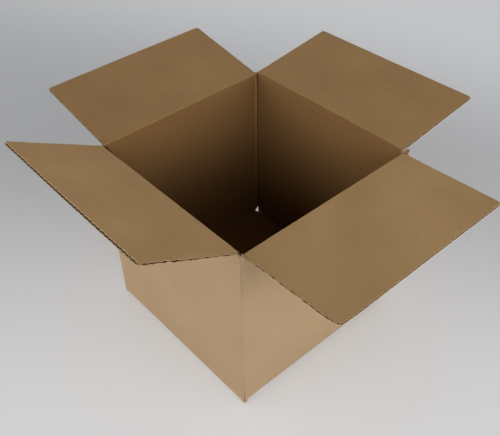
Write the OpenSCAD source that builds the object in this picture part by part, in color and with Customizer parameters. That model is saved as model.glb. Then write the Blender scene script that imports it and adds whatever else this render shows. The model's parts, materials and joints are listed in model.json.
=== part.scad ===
// Open shipping carton folded from one scored and slotted sheet of corrugated board.
// The four walls, the glued corner tab and the closed bottom flaps stay one folded piece,
// and the four top flaps stand open on their crushed creases.

/* [Carton] */
// Outside size from the left wall to the right wall, mm
outside_length = 305; // [220:1:420]
// Outside size from the front wall to the back wall, mm
outside_width = 305; // [220:1:420]
// Outside height with the top flaps closed, mm
outside_height = 302; // [180:1:420]

/* [Board] */
// Thickness of the corrugated board, mm
board = 4; // [3.2:0.1:5]
// Thickness of each flat facing liner, mm
liner = 0.4; // [0.3:0.05:0.5]
// Thickness of the fluted sheet between the liners, mm
medium = 0.35; // [0.25:0.05:0.45]
// Distance from one flute to the next, mm
flute_pitch = 8.1; // [6.5:0.1:9.5]

/* [Creases and slots] */
// Width of the slot between two neighbouring flaps, mm
slot_width = 9; // [8:0.5:12]
// Extra trim on the back flap beside the glued corner, mm
joint_trim = 2; // [1.5:0.1:4]
// Width of the crushed band on the outer side of a crease, mm
crush = 10; // [9:0.5:14]
// Gap between the two outer top flaps where they meet when closed, mm
seam_gap = 1; // [0.6:0.1:3]
// Gap between the two outer bottom flaps where they butt together, mm
bottom_seam = 0.5; // [0.3:0.1:0.5]

/* [Glued corner] */
// Width of the glued tab inside the left wall, mm
tab_width = 35; // [25:1:45]
// Slope of the tab's cut ends, degrees
tab_slope = 16; // [8:1:25]

/* [Flap lift above level] */
// Lift of the front flap, degrees
front_lift = 1.6; // [-10:0.1:40]
// Lift of the back flap, degrees
back_lift = 10.7; // [-10:0.1:40]
// Lift of the left flap, degrees
left_lift = 28.5; // [-10:0.1:40]
// Lift of the right flap, degrees
right_lift = 7.4; // [-10:0.1:40]

/* [Hidden] */
$fn = 48;
half_x = outside_length / 2;
half_y = outside_width / 2;
inner_x = half_x - board;
inner_y = half_y - board;
// gaps at the creases, between closed plies and beside the corner posts
hinge_gap = 0.3;
ply_gap = 0.3;
side_gap = 0.3;
// the crease line's depth below the inner face: outer flaps bend nearer the inner liner
outer_bead = 0.4 * board;
inner_bead = 0.6 * board;
outer_axis_x = half_x - (board - outer_bead);
inner_axis_y = half_y - (board - inner_bead);
outer_axis_z = outside_height - (board - outer_bead);
inner_axis_z = outer_axis_z - outer_bead - ply_gap - (board - inner_bead);
// walls
wall_top = outer_axis_z - outer_bead - hinge_gap;
// flap sizes: each outer flap reaches the middle, the inner ones are cut to the same depth
flap_depth = outer_axis_x - seam_gap / 2 + outer_bead;
outer_reach = flap_depth - outer_bead;
inner_reach = min(flap_depth - inner_bead, inner_axis_y - seam_gap / 2);
flap_half_x = half_x - board / 2 - slot_width / 2;
flap_half_y = half_y - board / 2 - slot_width / 2;
joint_half_x = flap_half_x - joint_trim;
// bottom plies
inner_ply_z = board + ply_gap;
bottom_inner_reach = min(flap_depth, half_y - seam_gap / 2);
post_foot = 1;
notch_w = 7;
notch_h = 9;
// glued tab
tab_top = wall_top - 0.7;
tab_foot = inner_ply_z + board + 2;
// flutes
wave = (board - 2 * liner - medium) / 2;
flute_start = crush + 1;

kraft = [0.62, 0.5, 0.36];
kraft_inside = [0.55, 0.44, 0.31];

// One flute channel under a liner, a six-point section with its flat side on the liner at y = 0
module channel(p) {
    polygon([
        [-0.4 * p, 0], [-0.22 * p, -1.12 * wave], [-0.07 * p, -1.85 * wave],
        [0.07 * p, -1.85 * wave], [0.22 * p, -1.12 * wave], [0.4 * p, 0]
    ]);
}

// Section of the board across the flutes, from x = -a to x = b, with its inner face at y = top
module fluted_section(a, b, top) {
    count = round((a + b) / flute_pitch);
    p = (a + b) / count;
    difference() {
        translate([-a, top - board]) square([a + b, board]);
        for (i = [0 : count]) translate([-a + i * p, top - liner]) channel(p);
        for (i = [0 : count - 1]) translate([-a + (i + 0.5) * p, top - board + liner]) mirror([0, 1]) channel(p);
    }
}

// Section of a flap's root across its crease: a round bead on the hinge line and a band crushed on the outer side
module root_section(bead) {
    circle(r = bead);
    polygon([[0, 0], [crush, bead - board], [flute_start, bead - board], [flute_start, bead], [0, bead]]);
}

// A flap lying level from its hinge line: x runs along the crease, y outwards, z up, inner face up
module flap(a, b, reach, bead) {
    intersection() {
        translate([b, 0, 0]) rotate([90, 0, -90]) mirror([1, 0, 0]) linear_extrude(a + b) root_section(bead);
        translate([-a, -bead - 1, bead - board]) cube([a + b, bead + 1 + flute_start, board]);
    }
    translate([0, reach, 0]) rotate([90, 0, 0]) linear_extrude(reach - flute_start) fluted_section(a, b, bead);
}

// Space cleared above a wall for a flap's bead, its crushed band and its swing, from x = -a to x = b, y outwards
module crease_cut(a, b, bead) {
    floor_z = -bead - hinge_gap;
    outer = board - bead;
    translate([b, 0, 0]) rotate([90, 0, -90]) mirror([1, 0, 0]) linear_extrude(a + b) polygon([
        [-bead - 1, floor_z], [-floor_z * outer / crush, floor_z], [outer, -crush],
        [outer + 1, -crush], [outer + 1, 20], [-bead - 1, 20]
    ]);
}

// Waste outside a rounded bottom fold, along x from -a to a, with the outer face at y = 0 and the fold's underside at z = 0
module fold_cut(a) {
    translate([a, 0, 0]) rotate([90, 0, -90]) mirror([1, 0, 0]) linear_extrude(2 * a) difference() {
        translate([-board, -board]) square([board + 1, 2 * board]);
        translate([-board, board]) circle(r = board);
        translate([-board - 1, 0]) square([1, board]);
    }
}

// Plan of the four walls with their rounded corner folds
module wall_plan() {
    difference() {
        union() {
            square([outside_length - 2 * board, outside_width], center = true);
            square([outside_length, outside_width - 2 * board], center = true);
            for (x = [-1, 1], y = [-1, 1]) translate([x * inner_x, y * inner_y]) circle(r = board);
        }
        square([2 * inner_x, 2 * inner_y], center = true);
    }
}

// Tab of the back wall, folded round the left corner and glued flat inside the left wall, with sloping cut ends
module glue_tab() {
    drop = tab_width * tan(tab_slope);
    translate([-inner_x + board, inner_y, 0]) rotate([0, -90, 0]) linear_extrude(board) polygon([
        [tab_foot, 0], [tab_top, 0], [tab_top - drop, -tab_width], [tab_foot + drop, -tab_width]
    ]);
}

// Two outer flaps under the carton and two inner flaps on top of them, folded shut
module bottom_flaps() {
    for (s = [0, 180]) rotate([0, 0, s]) {
        translate([bottom_seam / 2, -flap_half_y, 0])
            cube([half_x - board / 2 - bottom_seam / 2, 2 * flap_half_y, board]);
        translate([-flap_half_x, half_y - bottom_inner_reach, inner_ply_z])
            cube([2 * flap_half_x, bottom_inner_reach - board / 2, board]);
    }
}

// Walls, corner posts, glued tab and shut bottom of the one folded sheet
module carton_body() {
    color(kraft) difference() {
        union() {
            translate([0, 0, post_foot]) linear_extrude(wall_top - post_foot) wall_plan();
            for (s = [0, 180]) rotate([0, 0, s]) translate([-half_x, -flap_half_y, 0])
                cube([board, 2 * flap_half_y, 2 * board]);
            glue_tab();
            bottom_flaps();
        }
        // top creases
        for (s = [0, 180]) rotate([0, 0, s]) {
            translate([0, inner_axis_y, inner_axis_z]) crease_cut(flap_half_x + side_gap, flap_half_x + side_gap, inner_bead);
            rotate([0, 0, 90]) translate([0, outer_axis_x, outer_axis_z])
                crease_cut(flap_half_y + side_gap, flap_half_y + side_gap, outer_bead);
        }
        // bottom folds
        for (s = [0, 180]) rotate([0, 0, s]) {
            rotate([0, 0, 90]) translate([0, half_x, 0]) fold_cut(flap_half_y);
            translate([0, half_y, inner_ply_z]) fold_cut(flap_half_x);
            translate([-flap_half_x, inner_y, -1]) cube([2 * flap_half_x, board + 1, inner_ply_z + 1]);
        }
        // slits at the foot of the corner folds
        for (x = [-1, 1], y = [-1, 1])
            translate([x * (half_x - board / 2), y * (half_y - board / 2), 0]) rotate([0, 0, x * y * 45])
                translate([2.5 * board, 0, 0]) rotate([0, -90, 0]) linear_extrude(5 * board)
                    polygon([[-1, -notch_w / 2], [notch_h, 0], [-1, notch_w / 2]]);
    }
}

module front_flap() {
    color(kraft_inside) translate([0, -inner_axis_y, inner_axis_z]) rotate([0, 0, 180]) rotate([front_lift, 0, 0])
        flap(flap_half_x, flap_half_x, inner_reach, inner_bead);
}

module back_flap() {
    color(kraft_inside) translate([0, inner_axis_y, inner_axis_z]) rotate([back_lift, 0, 0])
        flap(joint_half_x, flap_half_x, inner_reach, inner_bead);
}

module left_flap() {
    color(kraft_inside) translate([-outer_axis_x, 0, outer_axis_z]) rotate([0, 0, 90]) rotate([left_lift, 0, 0])
        flap(flap_half_y, flap_half_y, outer_reach, outer_bead);
}

module right_flap() {
    color(kraft_inside) translate([outer_axis_x, 0, outer_axis_z]) rotate([0, 0, -90]) rotate([right_lift, 0, 0])
        flap(flap_half_y, flap_half_y, outer_reach, outer_bead);
}

carton_body();
front_flap();
back_flap();
left_flap();
right_flap();
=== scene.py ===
import json
from math import cos, pi, radians, sin, tan, tau

import bmesh
import bpy
from mathutils import Matrix, Vector, noise


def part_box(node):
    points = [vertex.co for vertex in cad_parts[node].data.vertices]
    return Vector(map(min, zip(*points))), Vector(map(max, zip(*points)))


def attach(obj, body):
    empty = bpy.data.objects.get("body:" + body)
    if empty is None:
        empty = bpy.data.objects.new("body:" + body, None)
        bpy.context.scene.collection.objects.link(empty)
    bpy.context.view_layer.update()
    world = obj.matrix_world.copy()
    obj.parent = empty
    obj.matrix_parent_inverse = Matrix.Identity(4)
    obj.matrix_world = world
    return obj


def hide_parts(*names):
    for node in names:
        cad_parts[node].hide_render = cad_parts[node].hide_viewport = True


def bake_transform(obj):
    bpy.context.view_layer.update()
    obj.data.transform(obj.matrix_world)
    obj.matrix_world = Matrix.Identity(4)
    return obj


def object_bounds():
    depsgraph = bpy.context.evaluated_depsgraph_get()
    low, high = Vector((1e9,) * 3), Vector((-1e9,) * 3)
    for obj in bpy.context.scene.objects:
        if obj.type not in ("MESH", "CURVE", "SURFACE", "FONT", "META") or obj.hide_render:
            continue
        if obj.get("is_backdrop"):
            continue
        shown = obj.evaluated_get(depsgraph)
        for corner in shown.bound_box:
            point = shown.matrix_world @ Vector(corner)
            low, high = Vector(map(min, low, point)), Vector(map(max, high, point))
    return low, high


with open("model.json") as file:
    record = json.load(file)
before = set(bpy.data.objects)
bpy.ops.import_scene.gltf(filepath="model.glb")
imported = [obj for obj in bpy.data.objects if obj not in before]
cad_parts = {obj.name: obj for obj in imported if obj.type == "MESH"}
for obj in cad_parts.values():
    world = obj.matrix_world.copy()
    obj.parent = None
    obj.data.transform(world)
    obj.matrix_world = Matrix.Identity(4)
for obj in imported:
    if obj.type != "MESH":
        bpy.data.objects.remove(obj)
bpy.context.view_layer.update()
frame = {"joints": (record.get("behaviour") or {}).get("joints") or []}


# Kraft paper: the liners of the board and the fluted sheet between them are unbleached brown paper.
# Its fibres lie across the flutes. The tone is cloudy, with dark and pale specks, and the flutes show
# through a liner as faint lines. Every piece carries a UV map of its place on the flat sheet, in metres.
class Wire:
    """A socket of a material's nodes. Sums on it add Math nodes, and node() adds any other node."""

    def __init__(self, tree, socket=None):
        self.tree = tree
        self.socket = socket

    def node(self, kind, settings, inputs, output=0):
        made = self.tree.nodes.new(kind)
        for name, value in settings.items():
            setattr(made, name, value)
        for name, value in inputs.items():
            if isinstance(value, Wire):
                self.tree.links.new(value.socket, made.inputs[name])
            else:
                made.inputs[name].default_value = value
        return Wire(self.tree, made.outputs[output] if made.outputs else None)

    def maths(self, operation, first, second, clamp=False):
        settings = {"operation": operation, "use_clamp": clamp}
        return self.node("ShaderNodeMath", settings, {0: first, 1: second})

    def mix(self, share, under, over):
        settings = {"data_type": "RGBA", "clamp_factor": True}
        return self.node("ShaderNodeMix", settings, {0: share, 6: under, 7: over}, 2)

    def ramp(self, value, start, end, low, high, shape="SMOOTHSTEP"):
        inputs = {"Value": value, "From Min": start, "From Max": end, "To Min": low, "To Max": high}
        return self.node("ShaderNodeMapRange", {"interpolation_type": shape}, inputs)

    def __add__(self, other):
        return self.maths("ADD", self, other)

    def __sub__(self, other):
        return self.maths("SUBTRACT", self, other)

    def __rsub__(self, other):
        return self.maths("SUBTRACT", other, self)

    def __mul__(self, other):
        return self.maths("MULTIPLY", self, other)

    __radd__ = __add__
    __rmul__ = __mul__


def tone(red, green, blue):
    """A screen colour from 0 to 255 as the shader's linear one."""
    return tuple((c / 255) ** 2.2 for c in (red, green, blue)) + (1.0,)


def scaled(colour, level):
    return tuple(min(1.0, c * level) for c in colour[:3]) + (1.0,)


flute_pitch = 0.0081
# marks in the paper, by their number in a metre, and how far each one moves the tone
cloud_scale = 11
flock_scale = 230
fibre_scale = (150, 1300, 1)
cloud_share = 0.7
flock_share = 0.75
fibre_share = 0.5
mottle_dark = 0.86
mottle_pale = 1.15
painted_light_least = 0.5
painted_light_cloud = 0.4
# specks: cells in a metre, size of the largest in cells, sharpness of the rim and strength of each kind
speck_cells = 75
speck_size = 0.085
speck_rim = 26
pale_kinds = 0.35
dark_speck = 0.6
dark_speck_level = 0.35
pale_speck = 0.25
pale_speck_tone = tone(214, 190, 156)
# surface
bump_strength = 0.35
bump_depth = 0.0001
least_roughness = 0.78
fibre_roughness = 0.2
gloss = 0.1


def kraft_paper(name, base, start, flute_mark, speck_share=1.0, painted_light_colour=None):
    """Paper of the tone base. Its pattern begins at start, and the paler tone given last is painted on
    as light and highlights.
    """
    material = bpy.data.materials.new(name)
    material.use_nodes = True
    material.node_tree.nodes.clear()
    wire = Wire(material.node_tree)

    sheet = wire.node("ShaderNodeUVMap", {"uv_map": "sheet"}, {})
    place = wire.node("ShaderNodeMapping", {}, {"Vector": sheet, "Location": (start, start / 2, 0)})
    along = wire.node("ShaderNodeMapping", {}, {"Vector": place, "Scale": fibre_scale})
    across = wire.node("ShaderNodeSeparateXYZ", {}, {"Vector": sheet})

    def cloud(vector, scale, detail):
        return wire.node("ShaderNodeTexNoise", {}, {"Vector": vector, "Scale": scale, "Detail": detail})

    clouds = cloud(place, cloud_scale, 4)
    flocks = cloud(place, flock_scale, 3)
    fibres = cloud(along, 1, 3)
    ridge = wire.maths("SINE", across * (tau / flute_pitch), 0)
    shade = 0.5 + (clouds - 0.5) * cloud_share
    shade = shade + (flocks - 0.5) * flock_share
    shade = shade + (fibres - 0.5) * fibre_share
    shade = shade + ridge * (clouds * flute_mark)

    def mottled(paper):
        return wire.mix(shade, scaled(paper, mottle_dark), scaled(paper, mottle_pale))

    # painted light: paler where a flap is lit more, and painted highlights on the creases' score lines
    # and the beads inside the corner folds
    colour = mottled(base)
    if painted_light_colour:
        painted_light = wire.node("ShaderNodeAttribute", {"attribute_name": "painted_light"}, {}, 2)
        colour = wire.mix(painted_light * (painted_light_least + clouds * painted_light_cloud), colour, mottled(painted_light_colour))

    # specks of bark and of pale fibre, a few in each hand's breadth
    cells = {"Vector": place, "Scale": speck_cells, "Randomness": 1}
    spread = wire.node("ShaderNodeTexVoronoi", {"voronoi_dimensions": "2D"}, cells)
    chance = wire.node("ShaderNodeTexVoronoi", {"voronoi_dimensions": "2D"}, cells, 1)
    draw = wire.node("ShaderNodeSeparateColor", {}, {"Color": chance})
    kind = wire.node("ShaderNodeSeparateColor", {}, {"Color": chance}, 1)
    size = wire.maths("POWER", draw, 4) * speck_size
    speck = wire.maths("MULTIPLY", size - spread, speck_rim, True) * speck_share
    is_dark = wire.maths("GREATER_THAN", kind, pale_kinds)
    colour = wire.mix(speck * is_dark * dark_speck, colour, scaled(base, dark_speck_level))
    colour = wire.mix(speck * (1 - is_dark) * pale_speck, colour, pale_speck_tone)

    height = fibres * 0.5 + flocks * 0.5 + ridge * (flute_mark * 2)
    bump = wire.node(
        "ShaderNodeBump",
        {},
        {"Strength": bump_strength, "Distance": bump_depth, "Height": height},
    )
    rough = least_roughness + fibres * fibre_roughness
    skin = wire.node(
        "ShaderNodeBsdfPrincipled",
        {},
        {"Base Color": colour, "Roughness": rough, "Normal": bump, "Specular IOR Level": gloss},
    )
    wire.node("ShaderNodeOutputMaterial", {}, {"Surface": skin})
    return material


inner_tone = tone(142, 108, 69)
# paler tone for the painted light on the flaps and the painted highlights on creases and beads
painted_light_tone = tone(191, 156, 111)
inner_liner = kraft_paper("inner_liner", inner_tone, start=3.1, flute_mark=0.03, painted_light_colour=painted_light_tone)
outer_liner = kraft_paper("outer_liner", tone(194, 165, 130), start=7.7, flute_mark=0.03)
cut_paper = kraft_paper("cut_paper", tone(220, 190, 146), start=1.3, flute_mark=0.0, speck_share=0.2)
# the fluted sheet's paper, coloured dark as painted shade in the open flutes, in the pits and on the
# glue tab's cut edges
fluting_with_shade = kraft_paper("fluting_with_shade", tone(84, 44, 14), start=5.9, flute_mark=0.0)
papers = [inner_liner, outer_liner, cut_paper, fluting_with_shade]
INNER, OUTER, CUT, FLUTED_SHADE = range(4)


# Walls and bottom: one sheet of corrugated board, scored and slotted, folded round four corners.
# The folds are rounded outside and swell to a bead inside. The bottom flaps are folded in and shut,
# the front and back pair on top of the left and right pair, which meet at a seam.
board = 0.004
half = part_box("carton_body")[1].x
inside = half - board
hinges = {j["child"]: Vector(j["pos_m"]) for j in frame["joints"]}
flap_edge = 0.14615
root_depth = 0.011
hinge_low = hinges["front_flap"].z - root_depth
tiny = 1e-5
facing = 0.9
panel_steps = 12
wall_rows = 12
wall_bow = 0.0009

# section of a corner fold in mm from the inner corner, outer and inner side, along and out of the
# first wall: the inner side has a groove at the end of the first wall and a bead on the second one
fold_section = [
    ((-0.5, 4), (-2.3, 0)),
    ((1.0, 4), (-1.9, 0.6)),
    ((2.5, 4), (-0.6, 1.4)),
    ((3.55, 3.55), (0.9, 1.3)),
    ((4, 2.5), (1.6, 0.2)),
    ((4, 0.8), (-0.5, -1.0)),
    ((4, -0.9), (-1.6, -1.5)),
]
bead_start = 5
fold_bead = 0.0018
bead_end = 0.0026
# painted highlight on the beads inside the corner folds
bead_highlight = 0.45
fold_score = 0.0018
least_score = 0.15
score_growth = 2.5

# glued corner: end of the left wall, and the round inside the back wall's fold to its tab
joint_end = 0.1512
joint_round = 0.0005
tab_gap = 0.0002
tab_face = inside - board - tab_gap

# corner posts between the flaps' slots
post_top = 0.2977
pit_wall = 0.0008
pit_depth = 0.0015
ear = Vector((0.0055, -0.0008, 0.001))
ear_root = 0.0014

# bottom
fold_gap = 0.0003
ply_gap = 0.0003
seam = 0.00025
inner_seam = 0.0013
fold_steps = 6
bottom_steps = 4
post_foot = 0.001
worn_foot = 0.0075
torn_rise = 0.004
foot_score = 0.003
foot_height = 0.009


def grow(bm, faces, keep=False):
    """Extrudes faces where they lie and returns the new ones, without leaving a wall inside."""
    made = bmesh.ops.extrude_face_region(bm, geom=faces)["geom"]
    if not keep:
        bmesh.ops.delete(bm, geom=faces, context="FACES_ONLY")
    return [g for g in made if isinstance(g, bmesh.types.BMFace)]


def corners(faces):
    return list({v for f in faces for v in f.verts})


def pull(bm, faces, step, keep=False):
    faces = grow(bm, faces, keep)
    bmesh.ops.translate(bm, verts=corners(faces), vec=step)
    return faces


def bend(bm, faces, centre, axis, angle, steps):
    for _ in range(steps):
        faces = grow(bm, faces)
        turn = Matrix.Rotation(angle / steps, 3, axis)
        bmesh.ops.rotate(bm, verts=corners(faces), cent=centre, matrix=turn)
    return faces


def set_creases(bm, limit=radians(32)):
    """Smooth shading with hard edges where the paper is cut or folded sharply."""
    for face in bm.faces:
        face.smooth = True
    for edge in bm.edges:
        edge.smooth = len(edge.link_faces) == 2 and edge.calc_face_angle(pi) < limit


def make_piece(bm, name):
    mesh = bpy.data.meshes.new(name)
    bm.to_mesh(mesh)
    bm.free()
    for paper in papers:
        mesh.materials.append(paper)
    piece = bpy.data.objects.new(name, mesh)
    bpy.context.scene.collection.objects.link(piece)
    return piece


# plan of the walls, as pairs of outer and inner points with the wall they end and their share of painted
# highlight on the beads inside the corner folds
bm = bmesh.new()
panel = bm.faces.layers.int.new("panel")
painted_light = bm.verts.layers.float.new("painted_light")
plan_z = 2 * board + ply_gap + fold_gap
pen = Vector((-inside, joint_end, plan_z))
heading = Vector((0, -1, 0))
stops = []
for wall in range(4):
    outward = Vector((heading.y, -heading.x, 0))
    across = Vector((-heading.y, heading.x, 0))
    middle = outward * inside + Vector((0, 0, plan_z))
    if wall == 0:
        stops.append((pen + outward * board, pen, 0, 0.0))
    for step in range(panel_steps + 1):
        at = middle + heading * flap_edge * (2 * step / panel_steps - 1)
        swell = outward * fold_bead if wall and not step else Vector()
        stops.append((at + outward * board, at - swell, wall + 1 if step else 0, float(step == 0)))
        if not step:
            at = at + heading * bead_end
            stops.append((at + outward * board, at, wall + 1, 0.0))
    centre = middle + heading * (tab_face if wall == 3 else inside)
    for step, (outer, inner) in enumerate(fold_section):
        outer = centre + heading * outer[0] / 1000 + outward * outer[1] / 1000
        if wall == 3:
            swing = pi / 2 * step / (len(fold_section) - 1)
            inner = centre + (-heading * cos(swing) + across * sin(swing)) * joint_round
        else:
            inner = centre + heading * inner[0] / 1000 + outward * inner[1] / 1000
        stops.append((outer, inner, 0, float(step >= bead_start)))
    heading = across

first_outer, first_inner = stops[0][:2]
edge = bm.edges.new((bm.verts.new(first_outer), bm.verts.new(first_inner)))
for outer, inner, wall, highlight_share in stops[1:]:
    made = bmesh.ops.extrude_edge_only(bm, edges=[edge])["geom"]
    edge = next(g for g in made if isinstance(g, bmesh.types.BMEdge))
    edge.verts[0].co = outer
    edge.verts[1].co = inner
    edge.verts[0][painted_light] = 0.0
    edge.verts[1][painted_light] = highlight_share * bead_highlight
    for face in edge.link_faces:
        face[panel] = wall

# walls up to the creases, the left and right ones higher than the front and back ones
plan = bm.faces[:]
row = (hinge_low - plan_z) / wall_rows
top = pull(bm, plan, (0, 0, row), keep=True)
for _ in range(wall_rows - 1):
    top = pull(bm, top, (0, 0, row))
side_walls = [f for f in top if f[panel] in (1, 3)]
posts = [f for f in top if f[panel] == 0]
pull(bm, side_walls, (0, 0, hinges["left_flap"].z - root_depth - hinge_low))

# open ends of the flutes in the tops of the corner posts, between the two liners
posts = pull(bm, posts, (0, 0, post_top - hinge_low))
bmesh.ops.recalc_face_normals(bm, faces=bm.faces[:])
bmesh.ops.inset_region(bm, faces=posts, thickness=pit_wall, use_even_offset=True)
pits = pull(bm, posts, (0, 0, -pit_depth))

# the right front post is crumpled outwards at its top, clear of the right flap's end
for vert in bm.verts:
    x, y, z = vert.co
    if z > hinge_low + tiny and x > flap_edge - tiny and y < tiny - flap_edge:
        clear = max(0, min(1, (-y - flap_edge) / ear_root))
        vert.co += ear * clear * max(0, min(1, (max(x, -y) - inside) / board))

# bottom folds and flaps, with a nick at the right end of the back one
inner_flap_z = plan_z
outer_flap_z = board + fold_gap
level_faces = [f for f in bm.faces if abs(f.normal.z) > facing]
foot = [f for f in level_faces if abs(f.calc_center_median().z - plan_z) < tiny]
feet = [[f for f in foot if f[panel] == wall] for wall in range(5)]
feet[4] = [f for f in feet[4] if f.calc_center_median().x < flap_edge - bead_end]
heading = Vector((0, -1, 0))
for wall in range(1, 5):
    outward = Vector((heading.y, -heading.x, 0))
    strip = feet[wall]
    axis_z = outer_flap_z if wall in (1, 3) else inner_flap_z
    reach = inside - fold_gap - (seam if wall in (1, 3) else inner_seam)
    if wall in (1, 3):
        strip = pull(bm, strip, (0, 0, axis_z - plan_z))
    hub = outward * (inside - fold_gap) + Vector((0, 0, axis_z))
    strip = bend(bm, strip, hub, heading, pi / 2, fold_steps)
    for _ in range(bottom_steps):
        strip = pull(bm, strip, -outward * reach / bottom_steps)
    heading = Vector((-heading.y, heading.x, 0))

# feet of the corner posts: the right front one is worn short and the right back one is torn
worn = [f for f in feet[0] if f.calc_center_median().x > 0 > f.calc_center_median().y]
torn = [f for f in feet[0] if f.calc_center_median().x > 0 and f.calc_center_median().y > 0]
sound = [f for f in feet[0] if f not in worn + torn]
hem = [v for v in corners(torn) if v.co.y > flap_edge + tiny]
bmesh.ops.translate(bm, verts=hem, vec=(0, 0, torn_rise))
pull(bm, worn, (0, 0, worn_foot - plan_z))
pull(bm, sound, (0, 0, post_foot - plan_z))
bmesh.ops.recalc_face_normals(bm, faces=bm.faces[:])

# which paper shows, and each face's place on the flat sheet
level_slope = 0.7
bottom_level = plan_z + 0.001
lower_ply = board + 0.0001
sheet_map = bm.loops.layers.uv.new("sheet")
for face in bm.faces:
    normal = face.normal
    at = face.calc_center_median()
    level = abs(normal.z) > level_slope
    on_x = abs(normal.x) > abs(normal.y)
    below = at.z < bottom_level and level
    towards = at.x * normal.x if on_x else at.y * normal.y
    if below:
        on_x = abs(at.x) > abs(at.y) if at.z > lower_ply else True
        face.material_index = OUTER if normal.z < 0 else INNER
    elif level:
        face.material_index = CUT
    else:
        face.material_index = OUTER if towards > 0 else INNER
    for loop in face.loops:
        co = loop.vert.co
        run = co.y if on_x else co.x
        fall = (abs(co.x) if on_x else abs(co.y)) if below else co.z
        loop[sheet_map].uv = (run, fall)
# painted shade: the pits take the dark fluting paper, but the front left post's pit, which is lit, takes
# the cut paper
for face in pits:
    at = face.calc_center_median()
    face.material_index = CUT if at.x < 0 and at.y < 0 else FLUTED_SHADE

# score lines pressed in on the corner folds, deeper upwards and at the foot, and walls bowed outwards
for vert in bm.verts:
    x, y, z = vert.co
    fold_middle = abs(abs(x) - abs(y)) < tiny and abs(x) > inside + board / 2
    if fold_middle:
        score = fold_score * max(least_score, min(1, (z - hinge_low / 2) / hinge_low * score_growth))
        if z < foot_height:
            score = foot_score
        vert.co -= Vector((x, y, 0)).normalized() * score
    span = min(abs(x), abs(y)) / flap_edge
    rise = (2 * z - hinge_low - plan_z) / (hinge_low - plan_z)
    if max(abs(x), abs(y)) > inside - tiny and span < 1 and abs(rise) < 1:
        out = Vector((x, 0, 0)) if abs(x) > abs(y) else Vector((0, y, 0))
        vert.co += out.normalized() * wall_bow * (1 - span**2) * (1 - rise**2)
set_creases(bm)
walls = make_piece(bm, "carton_walls")
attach(walls, "carton")
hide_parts("carton_body")


# Top flaps: the same board as the walls, cut off at the slots and left standing open.
# Two flat liners are glued to the crests of a fluted sheet, so the outer edge shows the open flutes,
# and the slot knife has squeezed the side edges together and left them ragged.
liner = 0.0006
medium = 0.0005
flute_rise = (board - 2 * liner - medium) / 2
liner_rows = 96
medium_rows = 20
flute_steps = 12
edge_slope = 0.3
sheet_step = 0.31
# wear, each with its grain, the distance in which it comes and goes
squeeze_width = 0.007
most_squeeze = 0.85
squeeze_grain = 0.011
nip_grain = 0.004
side_fray = 0.0014
side_grain = 0.005
side_sway = 0.0011
sway_grain = 0.035
tip_width = 0.004
tip_fray = 0.00025
tip_grain = 0.008
ripple = 0.0003
ripple_grain = 0.12
curl_radius = 0.055
curl_dip = 1.3


def add_layer(bm, span, depth, steps, height, thickness, skins):
    """One sheet of paper in the board. Its upper face follows height(x), and skins are the papers of
    its upper face, its lower face and its cut edge."""
    before = set(bm.faces)
    grid = bmesh.ops.create_grid(bm, x_segments=steps[0], y_segments=steps[1], size=1)
    for vert in grid["verts"]:
        x = span[0] + (span[1] - span[0]) * (vert.co.x + 1) / 2
        y = depth[0] + (depth[1] - depth[0]) * (vert.co.y + 1) / 2
        vert.co = (x, y, height(x))
    bmesh.ops.solidify(bm, geom=[f for f in bm.faces if f not in before], thickness=thickness)
    added = [f for f in bm.faces if f not in before]
    bmesh.ops.recalc_face_normals(bm, faces=added)
    for face in added:
        up = face.normal.z
        face.material_index = skins[2] if abs(up) < edge_slope else skins[0] if up > 0 else skins[1]


def lay_board(bm, span, depth, top, lower_edge):
    """Fluted board with its inner face at the height top; lower_edge is the lower liner's cut edge."""
    width = span[1] - span[0]
    flutes = round(width / flute_pitch)
    pitch = width / flutes
    middle = top - board / 2

    def upper(x):
        return top

    def crest(x):
        return middle + medium / 2 - flute_rise * cos(tau * (x - span[0]) / pitch)

    def lower(x):
        return top - board + liner

    liner_steps = (flutes * 2, liner_rows)
    medium_steps = (flutes * flute_steps, medium_rows)
    # the faces inside the board take the dark fluting paper, painted shade in the open flutes
    add_layer(bm, span, depth, liner_steps, upper, liner, (INNER, FLUTED_SHADE, CUT))
    add_layer(bm, span, depth, medium_steps, crest, medium, (FLUTED_SHADE, FLUTED_SHADE, CUT))
    add_layer(bm, span, depth, liner_steps, lower, liner, (FLUTED_SHADE, OUTER, lower_edge))


def map_sheet(bm, start):
    sheet_map = bm.loops.layers.uv.new("sheet")
    for face in bm.faces:
        for loop in face.loops:
            loop[sheet_map].uv = (loop.vert.co.x + start, loop.vert.co.y)


def wander(along, seed, grain):
    """A smooth chance value about zero, the same on every run; each seed is a line of its own."""
    return noise.noise(Vector((along / grain, seed, 0.37 * seed)))


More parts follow.
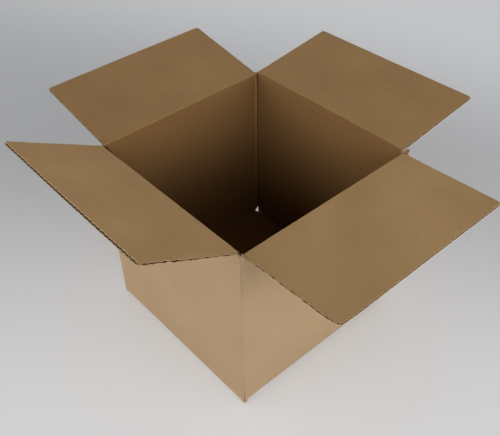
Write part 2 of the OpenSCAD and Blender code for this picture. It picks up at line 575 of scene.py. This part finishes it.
def wear_board(bm, look):
    """Squeezes and frays the cut edges, rounds the corners and warps the board a little."""
    span = look["span"]
    reach = look["tip"]
    seed = look["seed"]
    middle = look["bead"] - board / 2
    for vert in bm.verts:
        x, y, z = vert.co
        for side, end, squeeze in zip((-1, 1), span, look["squeeze"]):
            depth = side * (end - x)
            if depth < squeeze_width:
                fade = (1 - depth / squeeze_width) ** 2
                pinch = squeeze * (0.5 + 0.8 * wander(y, seed + side, squeeze_grain))
                pinch += squeeze * 0.35 * wander(y, seed + 2 * side, nip_grain)
                z = middle + (z - middle) * (1 - max(0, min(most_squeeze, pinch)) * fade)
                fray = wander(y, seed + 3 * side + (z > middle), side_grain) * side_fray
                x += side * fray * squeeze * fade
                z += wander(y, seed + 5 * side, sway_grain) * side_sway * squeeze * fade
        edge = reach - y
        if edge < tip_width:
            fray = wander(x, seed + 9 + (z > middle), tip_grain) * tip_fray
            y += fray * (1 - edge / tip_width)
        for side, end, radius in zip((-1, 1), span, look["corner"]):
            past_x = side * (x - end) + radius
            past_y = y - reach + radius
            if past_x > 0 and past_y > 0:
                stretch = max(past_x, past_y) / (past_x**2 + past_y**2) ** 0.5
                x = end + side * (past_x * stretch - radius)
                y = reach - radius + past_y * stretch
        share = y / reach
        z += look["warp"] * sin(pi * (x - span[0]) / (span[1] - span[0])) * share**2
        z += ripple * wander(x + 2 * y, seed + 20, ripple_grain) * min(1, 3 * share)
        out = ((x - span[1]) ** 2 + (y - reach) ** 2) ** 0.5 / curl_radius
        if out < 1:
            z += look["curl"] * (1 - out) ** 2 * (3 * (1 - out) - curl_dip)
        vert.co = (x, y, z)


# each flap's way out and lift in degrees, its ends along the crease, its outer edge and the height of
# its inner face from the hinge line, then its wear, with pairs for the two ends, its painted light, the
# paper of its lower liner's cut edge and its seed
# painted light: each flap is made paler by its level, most at the front, as if lit more there; the lower
# liner's cut edge takes the darker inner paper on the back, left and right flaps, painted shade
flap_looks = {
    "front_flap": {
        "turn": 180, "lift": 1.6, "span": (-0.146, 0.146), "tip": 0.1488, "bead": 0.0024,
        "squeeze": (0.2, 0.8), "corner": (0.002, 0.005), "warp": 0.0006, "curl": 0.0022,
        "painted_light_level": 0.9, "lower_edge": CUT, "seed": 11,
    },
    "back_flap": {
        "turn": 0, "lift": 10.7, "span": (-0.144, 0.146), "tip": 0.1488, "bead": 0.0024,
        "squeeze": (0.25, 0.2), "corner": (0.002, 0.003), "warp": 0.0005, "curl": 0,
        "painted_light_level": 0.55, "lower_edge": INNER, "seed": 23,
    },
    "left_flap": {
        "turn": 90, "lift": 28.5, "span": (-0.146, 0.146), "tip": 0.1496, "bead": 0.0016,
        "squeeze": (1.0, 0.2), "corner": (0.0025, 0.002), "warp": -0.0006, "curl": 0,
        "painted_light_level": 0.76, "lower_edge": INNER, "seed": 37,
    },
    "right_flap": {
        "turn": -90, "lift": 7.4, "span": (-0.146, 0.146), "tip": 0.1496, "bead": 0.0016,
        "squeeze": (0.25, 0.2), "corner": (0.002, 0.002), "warp": -0.0005, "curl": 0,
        "painted_light_level": 0.55, "lower_edge": INNER, "seed": 53,
    },
}
for number, (name, look) in enumerate(flap_looks.items()):
    bm = bmesh.new()
    lay_board(bm, look["span"], (root_depth, look["tip"]), look["bead"], look["lower_edge"])
    # painted light laid evenly over the whole flap at its level
    painted_light = bm.verts.layers.float.new("painted_light")
    for vert in bm.verts:
        vert[painted_light] = look["painted_light_level"]
    map_sheet(bm, number * sheet_step)
    wear_board(bm, look)
    stand = Matrix.Translation(hinges[name]) @ Matrix.Rotation(radians(look["turn"]), 4, "Z")
    stand = stand @ Matrix.Rotation(radians(look["lift"]), 4, "X")
    bmesh.ops.transform(bm, verts=bm.verts[:], matrix=stand)
    set_creases(bm)
    flap = make_piece(bm, name + "_board")
    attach(flap, name)
    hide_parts(name)


# Top creases: where the score wheel crushed the board, the sheet bends from wall to flap.
# The inner liner rolls over a round bead, and the outer side is pressed in to a groove.
# Each crease is a strip of its own that joins the wall to the flap and bends between them.
crush = 0.010
roll_steps = 8
crease_steps = 72
crease_wave = 0.00025
crease_sway_grain = 0.02
crease_heave_grain = 0.015
score_depth = 0.00022
# painted highlight on the score line and up the bead at the wall's end
score_highlight = 1.2
bead_end_highlight = 0.8
groove_width = 0.0012
groove_depth = 0.00035
end_rim = 0.0005
end_pit = 0.003
wall_way = Vector((0, 0, -1))
wall_in = Vector((0, -1, 0))
for number, (name, look) in enumerate(flap_looks.items()):
    bead = look["bead"]
    outer = board - bead
    lift = radians(look["lift"])
    flap_way = Vector((0, cos(lift), sin(lift)))
    flap_up = Vector((0, -sin(lift), cos(lift)))

    # section of the crease, each point with its way along the sheet from the score line
    profile = [(wall_way * root_depth + wall_in * bead, -root_depth)]
    for step in range(roll_steps + 1):
        swing = pi - (pi / 2 - lift) * step / roll_steps
        radius = bead - score_depth * (step == roll_steps // 2)
        profile.append((Vector((0, cos(swing), sin(swing))) * radius, bead * (step / roll_steps - 0.5)))
    profile.append((flap_way * root_depth + flap_up * bead, root_depth))
    profile.append((flap_way * root_depth - flap_up * outer, root_depth))
    profile.append((flap_way * crush - flap_up * outer, crush))
    profile.append(((flap_way - flap_up * outer / crush) * groove_width, groove_width))
    profile.append(((flap_way + wall_way) * groove_depth, 0))
    profile.append(((wall_way - wall_in * outer / crush) * groove_width, -groove_width))
    profile.append((wall_way * crush - wall_in * outer, -crush))
    profile.append((wall_way * root_depth - wall_in * outer, -root_depth))

    bm = bmesh.new()
    sheet_map = bm.loops.layers.uv.new("sheet")
    painted_light = bm.verts.layers.float.new("painted_light")
    fall = bm.verts.layers.float.new("fall")
    start, end = look["span"]
    # painted highlight on the score line at the top of the bead, and the flap's painted light on its
    # flap side
    for co, run in profile:
        on_score = abs(run) < tiny and co.z > 0
        vert = bm.verts.new(co + Vector((start, 0, 0)))
        vert[fall] = run
        vert[painted_light] = score_highlight if on_score else look["painted_light_level"] if run > 0 else 0.0
    bm.verts.ensure_lookup_table()
    ends = [bm.faces.new(bm.verts[:])]
    for step in range(crease_steps):
        tip = pull(bm, ends[-1:], ((end - start) / crease_steps, 0, 0), keep=step == 0)
        ends = [ends[0], tip[0]]
    # painted highlight runs up from the bead at the wall's end; the left wall's end is the glued joint
    if name != "left_flap":
        for vert in ends[1].verts:
            if vert[fall] < 0:
                vert[painted_light] = bead_end_highlight
    bmesh.ops.recalc_face_normals(bm, faces=bm.faces[:])

    # open flutes in both ends, pitted, with the dark fluting paper as painted shade
    bmesh.ops.inset_individual(bm, faces=ends, thickness=end_rim, use_even_offset=True)
    for end_face, side in zip(ends, (1, -1)):
        bmesh.ops.translate(bm, verts=end_face.verts[:], vec=(side * end_pit, 0, 0))
    for face in bm.faces:
        if abs(face.normal.x) > facing:
            face.material_index = FLUTED_SHADE if face in ends else CUT
        else:
            at = face.calc_center_median()
            upper = at.dot(flap_up) > 0 or (at.z < 0 and at.y < -bead / 2)
            face.material_index = INNER if upper else OUTER
        for loop in face.loops:
            loop[sheet_map].uv = (loop.vert.co.x + number * sheet_step, loop.vert[fall])
    for vert in bm.verts:
        near = 1 - min(1, abs(vert[fall]) / root_depth)
        sway = wander(vert.co.x, look["seed"], crease_sway_grain)
        heave = wander(vert.co.x, look["seed"] + 7, crease_heave_grain)
        vert.co += Vector((0, sway, heave)) * crease_wave * near
    stand = Matrix.Translation(hinges[name]) @ Matrix.Rotation(radians(look["turn"]), 4, "Z")
    bmesh.ops.transform(bm, verts=bm.verts[:], matrix=stand)
    set_creases(bm)
    crease = make_piece(bm, name + "_crease")
    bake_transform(crease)


# Glue tab: the end of the sheet, folded round the left back corner and glued flat inside the left wall.
# It is the same fluted board. Both of its ends are cut at a slope, so its open flutes show beside the
# wall at the rim, where the fluted sheet and the hidden liner end lower.
tab_width = 0.035
tab_slope = radians(5)
tab_top = 0.2977
tab_foot = 0.0103
tab_hollow = 0.006
tab_sheet = 1.3
under_liner = -liner * 1.01
bm = bmesh.new()
lay_board(bm, (0, tab_width), (tab_foot, tab_top), 0, FLUTED_SHADE)
map_sheet(bm, tab_sheet)
drop = tab_width * tan(tab_slope)
for vert in bm.verts:
    share = vert.co.x / tab_width
    low = tab_foot + drop * share
    high = tab_top - drop * share - tab_hollow * (vert.co.z < under_liner)
    vert.co.y = low + (high - low) * (vert.co.y - tab_foot) / (tab_top - tab_foot)
stand = Matrix(((0, 0, 1, -tab_face), (-1, 0, 0, inside), (0, 1, 0, 0), (0, 0, 0, 1)))
bmesh.ops.transform(bm, verts=bm.verts[:], matrix=stand)
bmesh.ops.recalc_face_normals(bm, faces=bm.faces[:])
set_creases(bm)
# painted shade: the tab's cut edges take the dark fluting paper
for face in bm.faces:
    if face.material_index == CUT:
        face.material_index = FLUTED_SHADE
tab = make_piece(bm, "glue_tab")
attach(tab, "carton")


# Floor: a pale matt studio floor just under the carton, a plain sheet that reaches past every view.
# It glows a little in front of the carton and far behind it, but only to the eye or in a gloss, so
# the floor is lighter there without lighting the carton.
floor_size = 60
floor_drop = 0.0004
studio_grey = (0.69, 0.703, 0.725, 1)
white = (1, 1, 1, 1)
# the camera's way over the floor, east along X and north along Y
view_east = 0.624
view_north = 0.781
near_glow = 0.26
near_start = -0.35
near_end = 0.5
near_lean = 0.12
far_glow = 0.17
far_start = 0.4
far_end = 1.35
far_lean = 0.6
bm = bmesh.new()
bmesh.ops.create_grid(bm, x_segments=1, y_segments=1, size=floor_size)
bmesh.ops.translate(bm, verts=bm.verts[:], vec=(0, 0, -floor_drop))
mesh = bpy.data.meshes.new("floor")
bm.to_mesh(mesh)
bm.free()
floor = bpy.data.objects.new("floor", mesh)
bpy.context.scene.collection.objects.link(floor)
floor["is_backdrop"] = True
floor_paint = bpy.data.materials.new("floor_paint")
floor_paint.use_nodes = True
floor_paint.node_tree.nodes.clear()
wire = Wire(floor_paint.node_tree)
matt = wire.node("ShaderNodeBsdfDiffuse", {}, {"Color": studio_grey, "Roughness": 0})
place = wire.node("ShaderNodeTexCoord", {}, {}, 3)
east = wire.node("ShaderNodeSeparateXYZ", {}, {"Vector": place})
north = wire.node("ShaderNodeSeparateXYZ", {}, {"Vector": place}, 1)
away = east * view_east + north * view_north
side = east * view_north - north * view_east
seen = wire.node("ShaderNodeLightPath", {}, {})
seen = seen + wire.node("ShaderNodeLightPath", {}, {}, "Is Glossy Ray")
seen = wire.maths("ADD", seen, wire.node("ShaderNodeLightPath", {}, {}, "Is Transmission Ray"), True)
near = wire.ramp(away + side * near_lean, near_start, near_end, near_glow, 0.0)
far = wire.ramp(away + side * far_lean, far_start, far_end, 0.0, far_glow)
lit = wire.node("ShaderNodeEmission", {}, {"Color": white, "Strength": seen * (near + far)})
both = wire.node("ShaderNodeAddShader", {}, {0: matt, 1: lit})
wire.node("ShaderNodeOutputMaterial", {}, {"Surface": both})
mesh.materials.append(floor_paint)


# Light: a soft bright band all round above a dimmer horizon, and a large weak lamp in front.
# The band reaches higher in the west and lower in the east, and overhead it is dark, which keeps the
# bottom of the carton dark. The camera sees a plain grey backdrop instead of the band.
band_glow = 2.2
band_full = 0.35
band_end = 0.65
band_lean = 0.1
horizon = 0.4
horizon_lean = 0.35
horizon_end = 0.3
back_light = 0.12
world = bpy.data.worlds.new("studio")
bpy.context.scene.world = world
world.use_nodes = True
world.node_tree.nodes.clear()
wire = Wire(world.node_tree)
way = wire.node("ShaderNodeTexCoord", {}, {})
east = wire.node("ShaderNodeSeparateXYZ", {}, {"Vector": way})
north = wire.node("ShaderNodeSeparateXYZ", {}, {"Vector": way}, 1)
up = wire.node("ShaderNodeSeparateXYZ", {}, {"Vector": way}, 2)
band = wire.ramp(up + east * band_lean, band_full, band_end, band_glow, 0.0)
low = wire.ramp(up, 0, horizon_end, horizon + east * horizon_lean, 1.0, "LINEAR")
behind = east * view_east + north * view_north
strength = band * low * (1 + behind * back_light)
glow = wire.node("ShaderNodeBackground", {}, {"Color": white, "Strength": strength})
backdrop = wire.node("ShaderNodeBackground", {}, {"Color": studio_grey, "Strength": 1})
seen = wire.node("ShaderNodeLightPath", {}, {})
shown = wire.node("ShaderNodeMixShader", {}, {0: seen, 1: glow, 2: backdrop})
wire.node("ShaderNodeOutputWorld", {}, {"Surface": shown})

lamp_place = Vector((0.15, -1.12, 1.1))
lamp_aim = Vector((0, 0, 0.25))
lamp_data = bpy.data.lights.new("front_softbox", "AREA")
lamp_data.shape = "RECTANGLE"
lamp_data.size = 1.6
lamp_data.size_y = 1.2
lamp_data.energy = 3
lamp = bpy.data.objects.new("front_softbox", lamp_data)
bpy.context.scene.collection.objects.link(lamp)
aim = (lamp_place - lamp_aim).to_track_quat("Z", "Y").to_matrix().to_4x4()
lamp.matrix_world = Matrix.Translation(lamp_place) @ aim


# Camera: the photo's own view, solved from the corners of the carton.
# The focal length and the centre of the view are in pixels of the photo.
image_width = 500
image_height = 436
focal = 681.7
centre_x = 224.3
centre_y = 229.7
eye = Vector((-0.51563, -0.57959, 0.856))
view_way = Vector((0.4608, 0.5772, -0.6742)).normalized()
roll = radians(-2.716)
camera_data = bpy.data.cameras.new("camera")
camera_data.sensor_fit = "HORIZONTAL"
camera_data.sensor_width = 36
camera_data.lens = focal / image_width * camera_data.sensor_width
camera_data.shift_x = (image_width / 2 - centre_x) / image_width
camera_data.shift_y = (centre_y - image_height / 2) / image_width
camera = bpy.data.objects.new("camera", camera_data)
bpy.context.scene.collection.objects.link(camera)
aim = (-view_way).to_track_quat("Z", "Y").to_matrix().to_4x4()
camera.matrix_world = Matrix.Translation(eye) @ aim @ Matrix.Rotation(roll, 4, "Z")
bpy.context.scene.camera = camera
bpy.context.scene.view_settings.view_transform = "Standard"

low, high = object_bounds()
